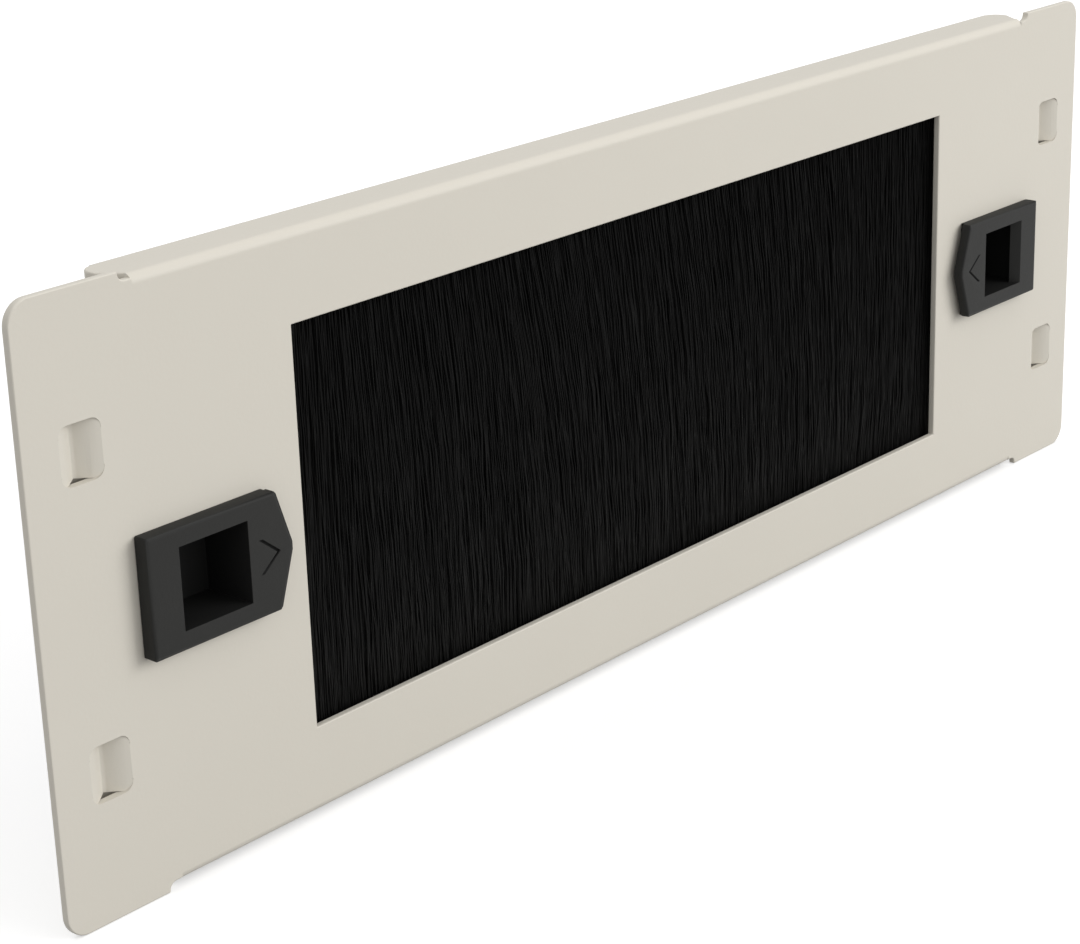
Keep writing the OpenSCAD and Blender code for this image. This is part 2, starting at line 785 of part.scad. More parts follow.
module latch_slider_left() color([0.23, 0.23, 0.22]) left() slider();
module latch_catch_left() color([0.20, 0.20, 0.20]) left() latch_catch();
module latch_spring_left() color([0.74, 0.75, 0.76]) left() latch_spring();
module latch_guide_left() color([0.17, 0.17, 0.17]) left() latch_guide();
module guide_studs_left() color([0.72, 0.70, 0.66]) left() guide_places() stud();
module guide_washers_left() color([0.75, 0.75, 0.76]) left() guide_washers();
module guide_nuts_left() color([0.78, 0.78, 0.79]) left() guide_nuts();

module latch_slider_right() color([0.23, 0.23, 0.22]) slider();
module latch_catch_right() color([0.20, 0.20, 0.20]) latch_catch();
module latch_spring_right() color([0.74, 0.75, 0.76]) latch_spring();
module latch_guide_right() color([0.17, 0.17, 0.17]) latch_guide();
module guide_studs_right() color([0.72, 0.70, 0.66]) guide_places() stud();
module guide_washers_right() color([0.75, 0.75, 0.76]) guide_washers();
module guide_nuts_right() color([0.78, 0.78, 0.79]) guide_nuts();

front_panel();
brush_channel();
brush_core_wire();
brush_bristles();
brush_clamp();
clamp_studs();
clamp_washers();
clamp_nuts();
latch_slider_left();
latch_catch_left();
latch_spring_left();
latch_guide_left();
guide_studs_left();
guide_washers_left();
guide_nuts_left();
latch_slider_right();
latch_catch_right();
latch_spring_right();
latch_guide_right();
guide_studs_right();
guide_washers_right();
guide_nuts_right();
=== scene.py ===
import bpy
import numpy as np
from mathutils import Matrix, Vector


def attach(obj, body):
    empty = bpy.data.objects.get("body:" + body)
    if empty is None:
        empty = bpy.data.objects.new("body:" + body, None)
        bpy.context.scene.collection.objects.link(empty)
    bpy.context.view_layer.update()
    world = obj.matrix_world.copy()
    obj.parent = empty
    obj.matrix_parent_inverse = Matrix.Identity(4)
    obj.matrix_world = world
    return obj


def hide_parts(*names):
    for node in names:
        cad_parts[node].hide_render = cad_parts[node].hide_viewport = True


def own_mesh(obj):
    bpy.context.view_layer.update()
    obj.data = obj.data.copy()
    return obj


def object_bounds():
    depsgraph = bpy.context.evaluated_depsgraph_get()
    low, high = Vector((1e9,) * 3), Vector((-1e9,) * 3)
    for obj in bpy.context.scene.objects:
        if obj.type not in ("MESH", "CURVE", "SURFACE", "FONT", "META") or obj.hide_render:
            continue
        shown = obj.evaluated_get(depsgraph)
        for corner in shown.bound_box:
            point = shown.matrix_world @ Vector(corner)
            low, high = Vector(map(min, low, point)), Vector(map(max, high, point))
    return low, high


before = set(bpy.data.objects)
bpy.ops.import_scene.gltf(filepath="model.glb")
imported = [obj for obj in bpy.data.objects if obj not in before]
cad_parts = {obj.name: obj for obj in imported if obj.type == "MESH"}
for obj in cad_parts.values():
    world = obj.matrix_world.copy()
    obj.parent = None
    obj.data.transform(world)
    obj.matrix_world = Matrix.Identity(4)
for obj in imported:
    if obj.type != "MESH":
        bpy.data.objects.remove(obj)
cad_low, cad_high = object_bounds()
MM = 0.001


# Camera: a long lens beyond the panel's left end and a little above it, close
# enough for the near ear to look twice as tall as the far one.
camera_data = bpy.data.cameras.new("camera")
camera_data.sensor_fit = "HORIZONTAL"
camera_data.sensor_width = 36.0
camera_data.lens = 87.94
camera_data.clip_start = 0.01
camera_place = Vector((-315.26, -254.71, 129.92)) * MM
camera_right = Vector((0.65602, -0.75410, -0.03124))
camera_down = Vector((-0.27196, -0.19757, -0.94181))
camera_ahead = Vector((0.70404, 0.62634, -0.33470))
camera = bpy.data.objects.new("camera", camera_data)
bpy.context.scene.collection.objects.link(camera)
camera.matrix_world = (
    Matrix.Translation(camera_place)
    @ Matrix((camera_right, -camera_down, -camera_ahead)).transposed().to_4x4()
)
bpy.context.scene.camera = camera
bpy.context.scene.view_settings.view_transform = "Standard"


# Floor and daylight: the panel stands on its ears on a plain white table, which
# runs out of sight into a white room and keeps the panel's soft shadow.
def node_at(tree, kind, **values):
    """A shader node whose named inputs are set to plain values."""
    node = tree.nodes.new(kind)
    for name, value in values.items():
        node.inputs[name].default_value = value
    return node


def new_material(name):
    """An empty node material, with its output node."""
    material = bpy.data.materials.new(name)
    material.use_nodes = True
    tree = material.node_tree
    tree.nodes.clear()
    return material, tree, tree.nodes.new("ShaderNodeOutputMaterial")


def seen_directly(tree):
    """1 where the camera, a mirror or a clear piece sees the surface, otherwise 0."""
    path = tree.nodes.new("ShaderNodeLightPath")
    most = path.outputs["Is Camera Ray"]
    for other in ("Is Glossy Ray", "Is Transmission Ray"):
        pick = tree.nodes.new("ShaderNodeMath")
        pick.operation = "MAXIMUM"
        tree.links.new(most, pick.inputs[0])
        tree.links.new(path.outputs[other], pick.inputs[1])
        most = pick.outputs[0]
    return most


bpy.ops.object.select_all(action="DESELECT")
bpy.ops.mesh.primitive_plane_add(size=8.0, location=(0, 0, cad_low.z - 0.02 * MM))
floor = bpy.context.active_object
floor.name = "table_top"
floor_paint, tree, output = new_material("white_table")
lit = node_at(tree, "ShaderNodeBsdfDiffuse", Color=(0.32, 0.32, 0.32, 1))
glow = node_at(tree, "ShaderNodeEmission", Color=(1, 1, 1, 1), Strength=0.38)
both = tree.nodes.new("ShaderNodeAddShader")
choose = tree.nodes.new("ShaderNodeMixShader")
half_lit = node_at(tree, "ShaderNodeBsdfDiffuse", Color=(0.80, 0.80, 0.80, 1))
tree.links.new(half_lit.outputs[0], both.inputs[0])
tree.links.new(glow.outputs[0], both.inputs[1])
tree.links.new(seen_directly(tree), choose.inputs[0])
tree.links.new(lit.outputs[0], choose.inputs[1])
tree.links.new(both.outputs[0], choose.inputs[2])
tree.links.new(choose.outputs[0], output.inputs["Surface"])
floor.data.materials.append(floor_paint)

room = bpy.data.worlds.new("white_room")
bpy.context.scene.world = room
room.use_nodes = True
tree = room.node_tree
tree.nodes.clear()
output = tree.nodes.new("ShaderNodeOutputWorld")
daylight = node_at(tree, "ShaderNodeBackground", Color=(1, 1, 1, 1), Strength=0.70)
backdrop = node_at(tree, "ShaderNodeBackground", Color=(1, 1, 1, 1), Strength=1.0)
choose = tree.nodes.new("ShaderNodeMixShader")
tree.links.new(
    tree.nodes.new("ShaderNodeLightPath").outputs["Is Camera Ray"], choose.inputs[0]
)
tree.links.new(daylight.outputs[0], choose.inputs[1])
tree.links.new(backdrop.outputs[0], choose.inputs[2])
tree.links.new(choose.outputs[0], output.inputs["Surface"])

# name, place, size, watts
SOFTBOXES = (
    ("softbox_right", (1.25, -1.62, 0.80), 1.3, 22.8),
    ("softbox_front", (0.50, -2.00, 0.70), 1.3, 7.2),
    ("softbox_left", (-1.50, -0.55, 0.90), 1.0, 1.8),
    ("softbox_top", (0.15, 0.35, 1.45), 1.1, 3.2),
)
for name, place, size, watts in SOFTBOXES:
    lamp_data = bpy.data.lights.new(name, "AREA")
    lamp_data.size = size
    lamp_data.energy = watts
    lamp = bpy.data.objects.new(name, lamp_data)
    bpy.context.scene.collection.objects.link(lamp)
    lamp.location = place
    lamp.rotation_euler = (-Vector(place)).to_track_quat("-Z", "Y").to_euler()


# Front panel: steel sheet, punched and folded, then powder coated in a warm
# light grey with a fine orange peel that softens every punched edge.
def copied(node, name):
    """A merged copy of a CAD node, with its flat faces made whole."""
    bpy.ops.object.select_all(action="DESELECT")
    piece = bpy.data.objects.new(name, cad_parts[node].data.copy())
    bpy.context.scene.collection.objects.link(piece)
    piece.data.materials.clear()
    bpy.context.view_layer.objects.active = piece
    piece.select_set(True)
    bpy.ops.object.mode_set(mode="EDIT")
    bpy.ops.mesh.select_all(action="SELECT")
    bpy.ops.mesh.remove_doubles(threshold=0.002 * MM)
    bpy.ops.mesh.dissolve_limited(angle_limit=0.01)
    bpy.ops.object.mode_set(mode="OBJECT")
    return piece


def points_of(mesh):
    """The mesh's points in millimetres, one in each row."""
    at = np.empty(len(mesh.vertices) * 3)
    mesh.vertices.foreach_get("co", at)
    return at.reshape(-1, 3) / MM


def move_points(mesh, at):
    """Puts the mesh's points at these places in millimetres."""
    mesh.vertices.foreach_set("co", (at * MM).ravel())
    mesh.update()


def of_faces(mesh, what):
    """Each face's centre or normal, one in each row."""
    rows = np.empty(len(mesh.polygons) * 3)
    mesh.polygons.foreach_get(what, rows)
    return rows.reshape(-1, 3)


def edge_angles(mesh):
    """Each edge's midpoint, and the angle between the two faces that meet there."""
    place = np.empty(len(mesh.vertices) * 3)
    mesh.vertices.foreach_get("co", place)
    ends = np.empty(len(mesh.edges) * 2, int)
    mesh.edges.foreach_get("vertices", ends)
    middle = place.reshape(-1, 3)[ends.reshape(-1, 2)].mean(1)
    facing = of_faces(mesh, "normal")
    corners = np.empty(len(mesh.polygons), int)
    mesh.polygons.foreach_get("loop_total", corners)
    edge = np.empty(len(mesh.loops), int)
    mesh.loops.foreach_get("edge_index", edge)
    face = np.repeat(np.arange(len(corners)), corners)[np.argsort(edge, kind="stable")]
    first = np.searchsorted(np.sort(edge), np.arange(len(middle)))
    pair = facing[face[first]] * facing[face[np.minimum(first + 1, len(face) - 1)]]
    return middle, np.arccos(np.clip(pair.sum(1), -1, 1))


def softened(piece, width, sharp=0.6, share=None, crease=0.7):
    """Rounds the piece's sharp edges, each to its share of the width, and smooths it."""
    bpy.ops.object.select_all(action="DESELECT")
    bpy.context.view_layer.objects.active = piece
    piece.select_set(True)
    middle, angle = edge_angles(piece.data)
    weight = (angle > sharp).astype(float)
    if share is not None:
        weight *= share(middle / MM)
    piece.data.attributes.new("bevel_weight_edge", "FLOAT", "EDGE")
    piece.data.attributes["bevel_weight_edge"].data.foreach_set("value", weight)
    bevel = piece.modifiers.new("edge", "BEVEL")
    bevel.width = width
    bevel.segments = 2
    bevel.limit_method = "WEIGHT"
    bevel.use_clamp_overlap = False
    bpy.ops.object.modifier_apply(modifier="edge")
    bpy.ops.object.shade_smooth_by_angle(angle=crease)
    even = piece.modifiers.new("even", "WEIGHTED_NORMAL")
    even.keep_sharp = True
    bpy.ops.object.modifier_apply(modifier="even")


def surface_grain():
    """Fine grain over a slow drift of tone, as paint, moulded and plated skins have."""
    group = bpy.data.node_groups.new("surface_grain", "ShaderNodeTree")
    for socket, kind in (
        ("Place", "NodeSocketVector"),
        ("Tone A", "NodeSocketColor"),
        ("Tone B", "NodeSocketColor"),
        ("Grain", "NodeSocketFloat"),
        ("Drift", "NodeSocketFloat"),
        ("Rough A", "NodeSocketFloat"),
        ("Rough B", "NodeSocketFloat"),
    ):
        group.interface.new_socket(socket, in_out="INPUT", socket_type=kind)
    for socket, kind in (
        ("Tone", "NodeSocketColor"),
        ("Rough", "NodeSocketFloat"),
        ("Height", "NodeSocketFloat"),
    ):
        group.interface.new_socket(socket, in_out="OUTPUT", socket_type=kind)
    entry = group.nodes.new("NodeGroupInput")
    leave = group.nodes.new("NodeGroupOutput")
    fine = node_at(group, "ShaderNodeTexNoise", Detail=2.0, Roughness=0.5)
    slow = node_at(group, "ShaderNodeTexNoise", Detail=3.0, Roughness=0.6)
    tone = group.nodes.new("ShaderNodeMix")
    tone.data_type = "RGBA"
    rough = group.nodes.new("ShaderNodeMix")
    rough.data_type = "FLOAT"
    link = group.links.new
    link(entry.outputs["Place"], fine.inputs["Vector"])
    link(entry.outputs["Place"], slow.inputs["Vector"])
    link(entry.outputs["Grain"], fine.inputs["Scale"])
    link(entry.outputs["Drift"], slow.inputs["Scale"])
    link(slow.outputs["Fac"], tone.inputs["Factor"])
    link(entry.outputs["Tone A"], tone.inputs["A"])
    link(entry.outputs["Tone B"], tone.inputs["B"])
    link(fine.outputs["Fac"], rough.inputs["Factor"])
    link(entry.outputs["Rough A"], rough.inputs["A"])
    link(entry.outputs["Rough B"], rough.inputs["B"])
    link(tone.outputs["Result"], leave.inputs["Tone"])
    link(rough.outputs["Result"], leave.inputs["Rough"])
    link(fine.outputs["Fac"], leave.inputs["Height"])
    return group


GRAIN = surface_grain()


def skin(name, tones, grain, drift, rough, bump, metallic=0.0, gloss=0.5, stretch=(1, 1, 1)):
    """A material with that grain: tones, fine and slow scale, and roughness range."""
    material, tree, output = new_material(name)
    shader = node_at(tree, "ShaderNodeBsdfPrincipled", Metallic=metallic)
    shader.inputs["Specular IOR Level"].default_value = gloss
    place = tree.nodes.new("ShaderNodeTexCoord")
    turn = tree.nodes.new("ShaderNodeMapping")
    turn.inputs["Scale"].default_value = stretch
    effect = tree.nodes.new("ShaderNodeGroup")
    effect.node_tree = GRAIN
    effect.inputs["Tone A"].default_value = (*tones[0], 1)
    effect.inputs["Tone B"].default_value = (*tones[1], 1)
    effect.inputs["Grain"].default_value = grain
    effect.inputs["Drift"].default_value = drift
    effect.inputs["Rough A"].default_value = rough[0]
    effect.inputs["Rough B"].default_value = rough[1]
    relief = node_at(tree, "ShaderNodeBump", Strength=bump, Distance=0.05 * MM)
    tree.links.new(place.outputs["Object"], turn.inputs["Vector"])
    tree.links.new(turn.outputs["Vector"], effect.inputs["Place"])
    tree.links.new(effect.outputs["Tone"], shader.inputs["Base Color"])
    tree.links.new(effect.outputs["Rough"], shader.inputs["Roughness"])
    tree.links.new(effect.outputs["Height"], relief.inputs["Height"])
    tree.links.new(relief.outputs["Normal"], shader.inputs["Normal"])
    tree.links.new(shader.outputs[0], output.inputs["Surface"])
    return material


powder_coat = skin(
    "powder_coat",
    ((0.632, 0.598, 0.528), (0.660, 0.626, 0.553)),
    grain=1500.0, drift=22.0, rough=(0.38, 0.50), bump=0.30, gloss=0.22,
)


def dress(piece, material, slot, body, *nodes):
    """Gives a piece its finish and its body, and puts it in place of CAD nodes."""
    piece.data.materials.append(material)
    if nodes:
        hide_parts(*nodes)
        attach(piece, body)


# A locating tab, in mm: its centre, half its width, and how far it is pressed back
# in the CAD and here. Each press falls off to the tab's sides by its own power.
TAB_X, TAB_Z, TAB_HALF = 117.5, 22.225, 3.5
CAD_PRESS, CAD_FALL = 1.3, 1.6
PRESS, FALL = 2.2, 1.4
COAT_FILL = 0.11
BEND_END_X, BEND_Z = 107.0, 41.5


def above_tab(at):
    """Each place's height over the middle of the tab in its half of the sheet."""
    return at[:, 2] - np.sign(at[:, 2]) * TAB_Z


def sheet_share(at):
    """The lanced tabs and the ends of the bends stay sharp, but for the lip under a tab."""
    x, z = np.abs(at[:, 0]), np.abs(at[:, 2])
    tabs = (np.abs(x - TAB_X) < 4.2) & (np.abs(z - TAB_Z) < 5.0)
    lip = (np.abs(x - TAB_X) < 1.95) & (np.abs(above_tab(at) + 4.15) < 0.05)
    lip &= at[:, 1] < -1.1
    bend_end = (np.abs(x - BEND_END_X) < 0.3) & (z > BEND_Z)
    return np.where((tabs & ~lip) | bend_end, 0.0, 1.0)


sheet = copied("front_panel", "folded_sheet")
at = points_of(sheet.data)
across, tall = at[:, 0] - np.sign(at[:, 0]) * TAB_X, above_tab(at)
out_x = across - np.clip(across, -1.9, 1.9)
out_z = tall - np.clip(tall, -2.55, 2.55)
reach = np.hypot(out_x, out_z)
on_tab = (np.abs(across) < 3.57) & (np.abs(tall) < 4.1)
on_tab &= (np.abs(tall) < 2.6) | (reach < 1.55)
near = np.where(on_tab, np.clip(1 - np.abs(across) / TAB_HALF, 0, 1), 0)
pressed, cad_pressed = PRESS * near ** FALL, CAD_PRESS * near ** CAD_FALL
behind = at[:, 1] - cad_pressed > -0.6
foot = on_tab & (tall < -3.9)
open_foot = np.where(foot, np.clip((pressed - 0.5) / 0.7, 0, 1), 0)

# The coat fills the fine slit round each tab, and the press drags the tab's foot along
loose = on_tab & (reach > 1.2) & (np.abs(tall) > 2.7)
at[:, 0] += np.where(loose, COAT_FILL * out_x / np.maximum(reach, 0.1), 0)
fill = COAT_FILL - COAT_FILL * open_foot
at[:, 2] += np.where(loose, fill * out_z / np.maximum(reach, 0.1), 0)
at[:, 1] += pressed - cad_pressed
at[:, 2] -= np.where(behind, 1.5, -0.1) * open_foot
move_points(sheet.data, at)
softened(sheet, 0.22 * MM, share=sheet_share)
dress(sheet, powder_coat, "panel_coat", "panel", "front_panel")

# The slanted end of a tab's foot takes a darker tone than the coat: painted shade that darkens
# the slit under each tab
slit_painted_shade = skin(
    "slit_painted_shade",
    ((0.340, 0.318, 0.280), (0.380, 0.356, 0.315)),
    grain=2000.0, drift=300.0, rough=(0.6, 0.7), bump=0.2, gloss=0.1,
)
sheet.data.materials.append(slit_painted_shade)
at = of_faces(sheet.data, "center") / MM
tall = above_tab(at)
# The downward faces at each tab's foot get the darker tone as painted shade
cut = (np.abs(np.abs(at[:, 0]) - TAB_X) < 2.3) & (tall > -6.0) & (tall < -3.9)
cut &= of_faces(sheet.data, "normal")[:, 2] < -0.3
sheet.data.polygons.foreach_set("material_index", cut.astype(int))


# Strip brush: black nylon hair, folded over a wire and crimped into a plated steel
# channel. The hair hangs free across the window and gathers in loose wisps.
def patterned(piece, count, step, axis):
    """Repeats a piece along an axis, and makes the copies real."""
    array = piece.modifiers.new("repeat", "ARRAY")
    array.count = count
    array.use_relative_offset = False
    array.use_constant_offset = True
    array.constant_offset_displace = [step if axis == k else 0.0 for k in range(3)]
    bpy.ops.object.modifier_apply(modifier="repeat")


# The curtain, in mm: half the width of its roots, the bound of its loose ends and the
# depth of its middle; its layers from front to back, and each strand's rings downwards
HAIR_HALF, HAIR_BOUND, HAIR_MIDDLE = 82.4, 82.75, 2.5
HAIR_PITCH, HAIR_RADIUS = 0.225, 0.11
HAIR_LAYERS = (-1.25, -1.15, -1.0, -0.85, 0.8, 1.1)
HAIR_RINGS = (34.0, 29.0, 22.0, 13.0, 3.0, -8.0, -20.0, -34.4)
WISP_WIDTH = 2.3


def bristle_hair(name, seed):
    """One strand with three sides, repeated into a curtain and then combed loose."""
    bpy.ops.object.select_all(action="DESELECT")
    bpy.ops.mesh.primitive_circle_add(
        vertices=3, radius=HAIR_RADIUS * MM, fill_type="NGON",
        location=(-HAIR_HALF * MM, 0.0, HAIR_RINGS[0] * MM),
    )
    piece = bpy.context.active_object
    piece.name = name
    bpy.ops.object.transform_apply(location=True)
    bpy.ops.object.mode_set(mode="EDIT")
    bpy.ops.mesh.select_all(action="SELECT")
    for above, below in zip(HAIR_RINGS, HAIR_RINGS[1:]):
        bpy.ops.mesh.extrude_region_move(
            TRANSFORM_OT_translate={"value": (0.0, 0.0, (below - above) * MM)}
        )
    bpy.ops.mesh.select_all(action="SELECT")
    bpy.ops.mesh.normals_make_consistent(inside=False)
    bpy.ops.object.mode_set(mode="OBJECT")
    points = len(piece.data.vertices)
    count = int(2 * HAIR_HALF / HAIR_PITCH) + 1
    patterned(piece, count, HAIR_PITCH * MM, 0)
    layers = len(HAIR_LAYERS)
    patterned(piece, layers, 0.001 * MM, 1)

    # The strands come out one after the other, each with the same order of points
    at = points_of(piece.data).reshape(layers, count, points, 3)
    rng = np.random.default_rng(seed)
    drop = np.clip((HAIR_RINGS[1] - at[..., 2]) / (HAIR_RINGS[1] - HAIR_RINGS[-1]), 0, 1)
    stray = rng.uniform(-0.14, 0.14, (layers, count, 1))
    root = stray + np.linspace(-HAIR_HALF, HAIR_HALF, count)[None, :, None]
    wisp = np.floor(root / WISP_WIDTH + rng.uniform(0, 1, (layers, 1, 1)))
    sweep = np.interp(root, (-82, -60, -30, 20, 48, 66, 82), (0, 3.0, 6.0, 6.0, 4.2, 1.5, 0))
    curl = np.interp(root, (-82, 20, 60, 82), (0, -0.6, -2.6, -3.2))
    path = sweep * (1 - (1 - drop) ** 2) + curl * drop ** 3
    path = path + (1.0 * np.sin(wisp * 12.9898) + rng.normal(0, 1.5, root.shape)) * drop
    phase = rng.uniform(0, 2 * np.pi, root.shape)
    path = path + 0.25 * np.sin(9.0 * drop + phase) * np.sqrt(drop)
    path = path + 0.6 * np.sin(8.0 * drop + 2.7 * wisp) * drop
    at[..., 0] += stray + path * (1 - np.abs(root / 82.5) ** 12)
    at[..., 0] = np.clip(at[..., 0], -HAIR_BOUND, HAIR_BOUND)
    layer = np.array(HAIR_LAYERS)[:, None, None]
    deep = layer + rng.uniform(-0.15, 0.15, root.shape)
    deep = deep + 0.3 * np.sin(11.0 * drop + 2.3 * phase)
    spread = np.clip((32.0 - at[..., 2]) / 3.0, 0, 1)
    at[..., 1] += HAIR_MIDDLE + np.clip(deep * (0.72 + 0.28 * spread), -1.55, 1.50)
    longer = rng.uniform(0, 1.2, root.shape) ** 1.5 + 0.25 * np.sin(wisp * 3.7)
    at[..., 2] -= longer * drop ** 3
    move_points(piece.data, at)

    # How loosely a strand hangs, and its tone: random by strand and by wisp, and paler towards
    # the free ends as painted light
    loose = 0.12 + 0.55 * drop
    own = rng.uniform(-0.14, 0.14, root.shape) + 0.12 * np.sin(wisp * 5.3)
    painted_light_below = 0.55 * drop ** 2 + 0.35 * np.clip((-22.0 - at[..., 2]) / 8.0, 0, 1)
    shade = 0.29 + (own - 0.5) * loose + painted_light_below
    for label, value in (("hair_loose", loose), ("hair_tone_and_painted_light", shade)):
        piece.data.attributes.new(label, "FLOAT", "POINT")
        piece.data.attributes[label].data.foreach_set("value", value.ravel())
    bpy.ops.object.shade_smooth()
    return piece


nylon, tree, output = new_material("black_nylon")
shader = node_at(tree, "ShaderNodeBsdfPrincipled", Roughness=0.6)
shader.inputs["Specular IOR Level"].default_value = 0.012
strand = tree.nodes.new("ShaderNodeAttribute")
strand.attribute_name = "hair_tone_and_painted_light"
freely = tree.nodes.new("ShaderNodeAttribute")
freely.attribute_name = "hair_loose"
place = tree.nodes.new("ShaderNodeTexCoord")
along = tree.nodes.new("ShaderNodeMapping")
along.inputs["Scale"].default_value = (1.0, 1.0, 0.07)
sheen = node_at(tree, "ShaderNodeTexNoise", Scale=1900.0, Detail=2.0)
uneven = tree.nodes.new("ShaderNodeMath")
uneven.operation = "MULTIPLY_ADD"
tone = tree.nodes.new("ShaderNodeMix")
tone.data_type = "RGBA"
tone.inputs["A"].default_value = (0.0044, 0.0044, 0.0044, 1)
tone.inputs["B"].default_value = (0.0212, 0.0210, 0.0205, 1)
tree.links.new(place.outputs["Object"], along.inputs["Vector"])
tree.links.new(along.outputs["Vector"], sheen.inputs["Vector"])
tree.links.new(sheen.outputs["Fac"], uneven.inputs[0])
tree.links.new(freely.outputs["Fac"], uneven.inputs[1])
tree.links.new(strand.outputs["Fac"], uneven.inputs[2])
tree.links.new(uneven.outputs[0], tone.inputs["Factor"])
tree.links.new(tone.outputs["Result"], shader.inputs["Base Color"])
tree.links.new(shader.outputs[0], output.inputs["Surface"])

bpy.ops.object.select_all(action="DESELECT")
bpy.ops.mesh.primitive_cube_add(size=1.0, location=(0.0, 2.6 * MM, 1.0 * MM))
core = bpy.context.active_object
core.name = "bristle_core"
core.scale = (2 * HAIR_BOUND * MM, 1.5 * MM, 68.0 * MM)
bpy.ops.object.transform_apply(location=True, scale=True)
# The core stands for the dense back of the brush, in a tone paler than the nylon: painted
# light that lifts the shade between the strands
bristle_core_painted_light = skin(
    "bristle_core_painted_light",
    ((0.030, 0.030, 0.029), (0.040, 0.040, 0.039)),
    grain=4000.0, drift=900.0, rough=(0.7, 0.8), bump=0.2, gloss=0.05, stretch=(1, 1, 0.05),
)
dress(core, bristle_core_painted_light, "bristle", "panel", "brush_bristles")
hair = bristle_hair("bristle_hair", 7)
dress(hair, nylon, "bristle", "panel", "brush_bristles")

zinc = skin(
    "zinc_plate",
    ((0.50, 0.51, 0.52), (0.60, 0.61, 0.62)),
    grain=1400.0, drift=120.0, rough=(0.28, 0.42), bump=0.12, metallic=1.0,
)
channel = copied("brush_channel", "crimped_channel")
softened(channel, 0.08 * MM)
dress(channel, zinc, "zinc_steel", "panel", "brush_channel")
wire = copied("brush_core_wire", "core_wire")
softened(wire, 0.05 * MM)
drawn_wire = skin(
    "drawn_wire",
    ((0.40, 0.40, 0.41), (0.50, 0.50, 0.51)),
    grain=2500.0, drift=200.0, rough=(0.25, 0.38), bump=0.1, metallic=1.0, stretch=(0.1, 1, 1),
)
dress(wire, drawn_wire, "plain_wire", "panel", "brush_core_wire")


# Clamp and fasteners: a bent strap over the channel, held like the latch guides by
# nuts and washers on studs that are welded to the back of the sheet.
clamp = copied("brush_clamp", "bent_clamp")
softened(clamp, 0.12 * MM)
dress(clamp, zinc, "zinc_steel", "panel", "brush_clamp")

copper_flash = skin(
    "copper_flashed_stud",
    ((0.52, 0.42, 0.33), (0.60, 0.52, 0.44)),
    grain=1800.0, drift=300.0, rough=(0.3, 0.45), bump=0.1, metallic=1.0,
)

# The stud's thread: a wave of half a millimetre along its axis
tree = copper_flash.node_tree
turns = node_at(tree, "ShaderNodeTexWave", Scale=628.0, Distortion=0.0)
turns.wave_type = "BANDS"
turns.bands_direction = "Y"
turns.wave_profile = "TRI"
thread = node_at(tree, "ShaderNodeBump", Strength=0.9, Distance=0.25 * MM)
place = tree.nodes.new("ShaderNodeTexCoord")
tree.links.new(place.outputs["Object"], turns.inputs["Vector"])
tree.links.new(turns.outputs["Fac"], thread.inputs["Height"])
shader = next(node for node in tree.nodes if node.type == "BSDF_PRINCIPLED")
tree.links.new(thread.outputs["Normal"], shader.inputs["Normal"])

bright_zinc = skin(
    "bright_zinc",
    ((0.62, 0.63, 0.66), (0.72, 0.73, 0.75)),
    grain=2200.0, drift=250.0, rough=(0.2, 0.34), bump=0.08, metallic=1.0,
)
for group in ("clamp_studs", "guide_studs_left", "guide_studs_right"):
    studs = copied(group, group + "_threaded")
    softened(studs, 0.04 * MM)
    dress(studs, copper_flash, "stud_steel", "panel", group)
for group, side in (("clamp", ""), ("guide", "_left"), ("guide", "_right")):
    for kind in ("washers", "nuts"):
        node = group + "_" + kind + side
        small = copied(node, node + "_plated")
        softened(small, 0.07 * MM)
        dress(small, bright_zinc, "fastener_steel", "panel", node)


# Latches: a moulded slider with a finger pocket and an engraved arrow, snapped to a
# fork behind the sheet; a short coil spring in a moulded guide pushes both outwards.
moulded = skin(
    "moulded_face",
    ((0.0165, 0.0165, 0.0154), (0.0190, 0.0190, 0.0178)),
    grain=2600.0, drift=60.0, rough=(0.50, 0.62), bump=0.35, gloss=0.18,
)
# A darker tone of the same plastic for the pocket and the engraved arrow: painted shade in
# these recesses
deep = skin(
    "pocket_painted_shade",
    ((0.0110, 0.0110, 0.0106), (0.0140, 0.0140, 0.0136)),
    grain=2600.0, drift=60.0, rough=(0.6, 0.7), bump=0.2, gloss=0.10,
)
catch_skin = skin(
    "catch_plastic",
    ((0.018, 0.018, 0.018), (0.023, 0.023, 0.023)),
    grain=1800.0, drift=60.0, rough=(0.38, 0.5), bump=0.15, gloss=0.4,
)
guide_skin = skin(
    "guide_plastic",
    ((0.014, 0.014, 0.014), (0.018, 0.018, 0.018)),
    grain=1800.0, drift=50.0, rough=(0.42, 0.55), bump=0.2, gloss=0.4,
)
coil_skin = skin(
    "spring_wire",
    ((0.60, 0.60, 0.61), (0.70, 0.70, 0.71)),
    grain=3000.0, drift=400.0, rough=(0.18, 0.3), bump=0.05, metallic=1.0,
)

# The slider's front plate, in mm: its middle and half sizes, its front face and where
# the CAD's fine chamfer ends; how far the rim is drawn in, and how far the lip slopes
PLATE_X, PLATE_HALF_X, PLATE_HALF_Z = 97.5, 12.9, 8.4
PLATE_FRONT, CHAMFER_END = -3.65, -3.4
RIM_IN, RIM_BACK, LIP_SLOPE = 0.4, 0.35, 1.2
LIP_X, LIP_BACK = 105.0, -2.0


def painted_shade_faces(at):
    """The faces of the pocket behind its lip and the faces of the engraved arrow, which get
    painted shade.
    """
    x, y, z = np.abs(at[:, 0]), at[:, 1], np.abs(at[:, 2])
    pocket = (x > 92.6) & (x < 106.3) & (z < 6.1) & (y > -1.9) & (y < 5.4)
    arrow = (x > 86.2) & (x < 92.0) & (z < 3.2) & (y > -3.66) & (y < -3.2)
    return pocket | arrow


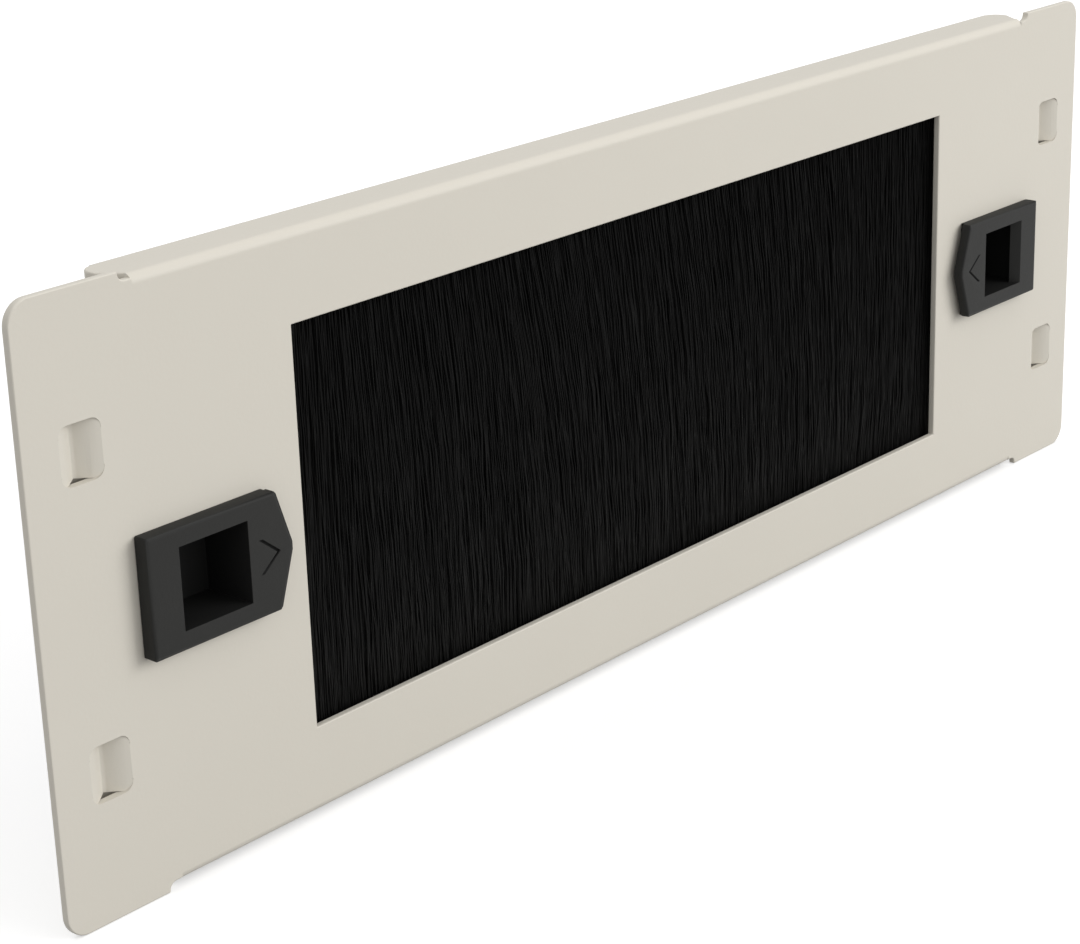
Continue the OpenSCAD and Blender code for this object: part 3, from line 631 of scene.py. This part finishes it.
def slider_share(at):
    """The plate's chamfered outline and the engraved arrow keep their own edges."""
    x, y, z = np.abs(at[:, 0]), at[:, 1], np.abs(at[:, 2])
    outline = (y < -3.0) & ~((x > 92.4) & (x < 105.3) & (z < 6.3))
    return np.where(outline, 0.0, 1.0)


for side, sign in (("left", -1), ("right", 1)):
    body = "latch_" + side
    slider = copied("latch_slider_" + side, "slider_" + side)
    at = points_of(slider.data)
    x, y, z = np.abs(at[:, 0]), at[:, 1].copy(), np.abs(at[:, 2])
    ramp = (np.abs(x - LIP_X) < 0.1) & (np.abs(y - LIP_BACK) < 0.1) & (z < 6.1)
    rim = ~((x > 86.2) & (x < 105.3) & (z < 6.3)) & (y < PLATE_FRONT)
    drawn_in = np.where(rim, RIM_IN * (x - PLATE_X) / PLATE_HALF_X, 0)
    outer = (z > 6.5) | (x < 86.0) | (x > 106.5)
    at[:, 0] -= sign * (np.where(ramp, LIP_SLOPE, 0) + drawn_in)
    at[:, 2] -= np.where(rim, RIM_IN * at[:, 2] / PLATE_HALF_Z, 0)
    at[:, 1] += np.where((np.abs(y - CHAMFER_END) < 0.05) & outer, RIM_BACK, 0)
    move_points(slider.data, at)
    softened(slider, 0.07 * MM, share=slider_share, crease=0.9)
    dress(slider, moulded, "latch_plastic", body, "latch_slider_" + side)
    # The pocket's and the arrow's faces take the darker tone as painted shade
    slider.data.materials.append(deep)
    inside = painted_shade_faces(of_faces(slider.data, "center") / MM)
    slider.data.polygons.foreach_set("material_index", inside.astype(int))

    catch = copied("latch_catch_" + side, "catch_" + side)
    softened(catch, 0.12 * MM)
    dress(catch, catch_skin, "catch_plastic", body, "latch_catch_" + side)

    guide = copied("latch_guide_" + side, "guide_" + side)
    softened(guide, 0.15 * MM)
    dress(guide, guide_skin, "guide_plastic", "panel", "latch_guide_" + side)

    coil = copied("latch_spring_" + side, "coil_" + side)
    smooth = coil.modifiers.new("round", "SUBSURF")
    smooth.levels = 1
    bpy.ops.object.modifier_apply(modifier="round")
    bpy.ops.object.shade_smooth()
    dress(coil, coil_skin, "spring_steel", "panel", "latch_spring_" + side)
    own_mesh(coil)
